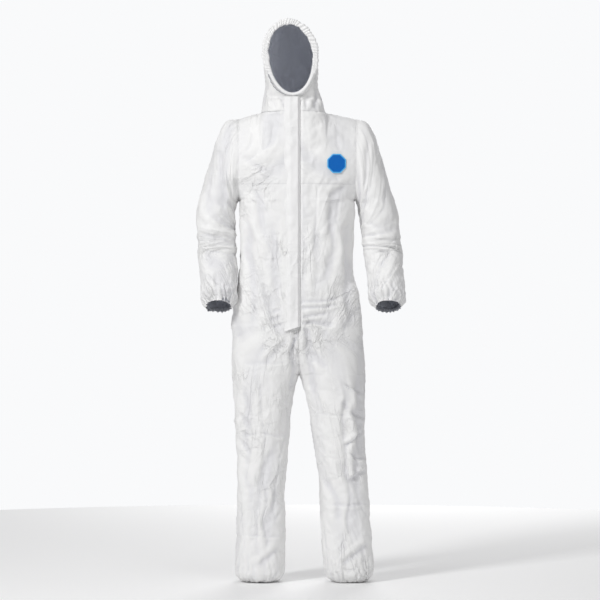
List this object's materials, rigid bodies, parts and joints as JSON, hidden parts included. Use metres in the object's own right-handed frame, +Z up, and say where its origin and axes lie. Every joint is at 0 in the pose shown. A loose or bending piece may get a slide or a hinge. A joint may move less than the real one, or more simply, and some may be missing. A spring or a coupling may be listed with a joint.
{
  "type": "chemical protective coverall",
  "caption": "Hooded white nonwoven protective coverall with zip under a storm flap and elastic at face, waist, wrists and ankles, standing as if worn.",
  "frame": {"origin": "on the floor under the middle of the suit's outline", "axes": "+Z up, -Y out of the chest, +X towards the wearer's left"},
  "size_m": [0.6516, 0.2556, 1.753],
  "materials": {
    "nonwoven": "smooth white flash-spun nonwoven with soft creases",
    "elastic": "ribbed woven elastic",
    "zip_tape": "woven tape",
    "nylon": "satin white nylon",
    "seal_tape": "silicone paper over adhesive",
    "label": "blue heat-sealed film with a lighter rim",
    "label_tape": "satin tape"
  },
  "bodies": {
    "torso": {"front_upper_left": "nonwoven", "front_upper_right": "nonwoven", "front_lower_left": "nonwoven", "front_lower_right": "nonwoven", "back_upper_left": "nonwoven", "back_upper_right": "nonwoven", "back_lower_left": "nonwoven", "back_lower_right": "nonwoven", "hood_left": "nonwoven", "hood_right": "nonwoven", "face_casing": "nonwoven", "face_elastic": "elastic", "waist_elastic": "elastic", "zip_tape_left": "zip_tape", "zip_tape_right": "zip_tape", "zip_teeth_left": "nylon", "zip_teeth_right": "nylon", "zip_top_stop_left": "nylon", "zip_top_stop_right": "nylon", "zip_bottom_stop": "nylon", "chest_badge": "label", "size_label": "label_tape"},
    "slider": {"zip_slider": "nylon"},
    "pull": {"zip_pull": "nylon"},
    "flap": {"storm_flap": "nonwoven", "flap_seal_tape": "seal_tape"},
    "upper_arm_left": {"upper_sleeve_left": "nonwoven"},
    "forearm_left": {"forearm_sleeve_left": "nonwoven", "cuff_elastic_left": "elastic"},
    "upper_leg_left": {"thigh_left": "nonwoven"},
    "lower_leg_left": {"shin_left": "nonwoven", "ankle_elastic_left": "elastic"},
    "upper_arm_right": {"upper_sleeve_right": "nonwoven"},
    "forearm_right": {"forearm_sleeve_right": "nonwoven", "cuff_elastic_right": "elastic"},
    "upper_leg_right": {"thigh_right": "nonwoven"},
    "lower_leg_right": {"shin_right": "nonwoven", "ankle_elastic_right": "elastic"}
  },
  "joints": [
    {"name": "zip_slide", "type": "slide", "parent": "torso", "child": "slider", "axis": [0, 0, -1], "range_m": [0, 0.66]},
    {"name": "pull_swing", "type": "hinge", "parent": "slider", "child": "pull", "pos_m": [-0.014, -0.116, 1.482], "axis": [0, 1, 0], "range_deg": [0, 40]},
    {"name": "flap_open", "type": "hinge", "parent": "torso", "child": "flap", "pos_m": [-0.0028, -0.1166, 1.14], "axis": [0, 0, 1], "range_deg": [0, 105]},
    {"name": "shoulder_left", "type": "hinge", "parent": "torso", "child": "upper_arm_left", "pos_m": [0.1683, 0, 1.4505], "axis": [0, -1, 0], "range_deg": [0, 45]},
    {"name": "elbow_left", "type": "hinge", "parent": "upper_arm_left", "child": "forearm_left", "pos_m": [0.25009, -0.0756, 1.078], "axis": [-1, 0, 0], "range_deg": [0, 75]},
    {"name": "hip_left", "type": "hinge", "parent": "torso", "child": "upper_leg_left", "pos_m": [0.09655, -0.1065, 0.65], "axis": [-1, 0, 0], "range_deg": [0, 45]},
    {"name": "knee_left", "type": "hinge", "parent": "upper_leg_left", "child": "lower_leg_left", "pos_m": [0.1169, 0.0846, 0.43], "axis": [1, 0, 0], "range_deg": [0, 75]},
    {"name": "shoulder_right", "type": "hinge", "parent": "torso", "child": "upper_arm_right", "pos_m": [-0.1963, 0, 1.4505], "axis": [0, 1, 0], "range_deg": [0, 45]},
    {"name": "elbow_right", "type": "hinge", "parent": "upper_arm_right", "child": "forearm_right", "pos_m": [-0.26691, -0.0756, 1.078], "axis": [-1, 0, 0], "range_deg": [0, 75]},
    {"name": "hip_right", "type": "hinge", "parent": "torso", "child": "upper_leg_right", "pos_m": [-0.11145, -0.1065, 0.65], "axis": [-1, 0, 0], "range_deg": [0, 45]},
    {"name": "knee_right", "type": "hinge", "parent": "upper_leg_right", "child": "lower_leg_right", "pos_m": [-0.1191, 0.0846, 0.43], "axis": [1, 0, 0], "range_deg": [0, 75]}
  ]
}
